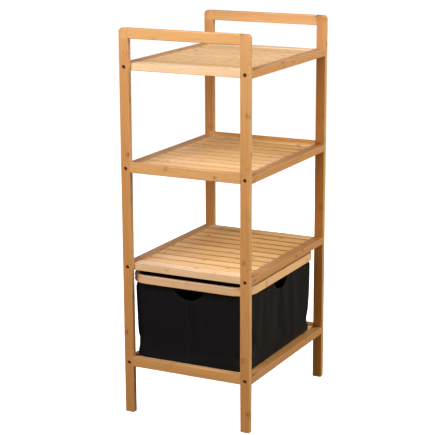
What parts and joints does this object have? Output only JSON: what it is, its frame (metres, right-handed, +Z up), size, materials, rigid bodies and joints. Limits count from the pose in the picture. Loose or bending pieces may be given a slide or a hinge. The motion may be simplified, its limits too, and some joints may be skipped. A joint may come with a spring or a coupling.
{
  "type": "storage rack",
  "caption": "Free-standing bamboo rack with slatted shelves bolted between two side frames, and a fabric basket with a bent bamboo rim that slides out to the front.",
  "frame": {"origin": "on the floor under the middle of the rack", "axes": "+Z up, -Y towards the front that the basket slides out of, -X to the left side frame"},
  "size_m": [0.45, 0.34, 0.95],
  "materials": {
    "bamboo": "satin lacquered bamboo",
    "bent_bamboo": "satin lacquered bent bamboo",
    "black_fabric": "matt woven polyester",
    "base_board": "matt board",
    "bolt_steel": "black oxide steel"
  },
  "bodies": {
    "rack": {"left_frame_front_post": "bamboo", "left_frame_rear_post": "bamboo", "left_frame_top_rail": "bamboo", "left_frame_middle_rung": "bamboo", "left_frame_bottom_rung": "bamboo", "right_frame_front_post": "bamboo", "right_frame_rear_post": "bamboo", "right_frame_top_rail": "bamboo", "right_frame_middle_rung": "bamboo", "right_frame_bottom_rung": "bamboo", "bottom_shelf_front_rail": "bamboo", "bottom_shelf_rear_rail": "bamboo", "bottom_shelf_left_end_board": "bamboo", "bottom_shelf_right_end_board": "bamboo", "bottom_shelf_slats": "bamboo", "third_shelf_front_rail": "bamboo", "third_shelf_rear_rail": "bamboo", "third_shelf_left_end_board": "bamboo", "third_shelf_right_end_board": "bamboo", "third_shelf_slats": "bamboo", "second_shelf_front_rail": "bamboo", "second_shelf_rear_rail": "bamboo", "second_shelf_left_end_board": "bamboo", "second_shelf_right_end_board": "bamboo", "second_shelf_slats": "bamboo", "top_shelf_front_rail": "bamboo", "top_shelf_rear_rail": "bamboo", "top_shelf_left_end_board": "bamboo", "top_shelf_right_end_board": "bamboo", "top_shelf_slats": "bamboo", "bottom_shelf_front_left_bolt": "bolt_steel", "bottom_shelf_front_right_bolt": "bolt_steel", "bottom_shelf_rear_left_bolt": "bolt_steel", "bottom_shelf_rear_right_bolt": "bolt_steel", "third_shelf_front_left_bolt": "bolt_steel", "third_shelf_front_right_bolt": "bolt_steel", "third_shelf_rear_left_bolt": "bolt_steel", "third_shelf_rear_right_bolt": "bolt_steel", "second_shelf_front_left_bolt": "bolt_steel", "second_shelf_front_right_bolt": "bolt_steel", "second_shelf_rear_left_bolt": "bolt_steel", "second_shelf_rear_right_bolt": "bolt_steel", "top_shelf_front_left_bolt": "bolt_steel", "top_shelf_front_right_bolt": "bolt_steel", "top_shelf_rear_left_bolt": "bolt_steel", "top_shelf_rear_right_bolt": "bolt_steel"},
    "basket": {"basket_rim_front": "bent_bamboo", "basket_rim_rear": "bent_bamboo", "basket_bag": "black_fabric", "basket_base_board": "base_board"}
  },
  "joints": [
    {"name": "basket_slide", "type": "slide", "parent": "rack", "child": "basket", "axis": [0, -1, 0], "range_m": [0, 0.3]}
  ]
}
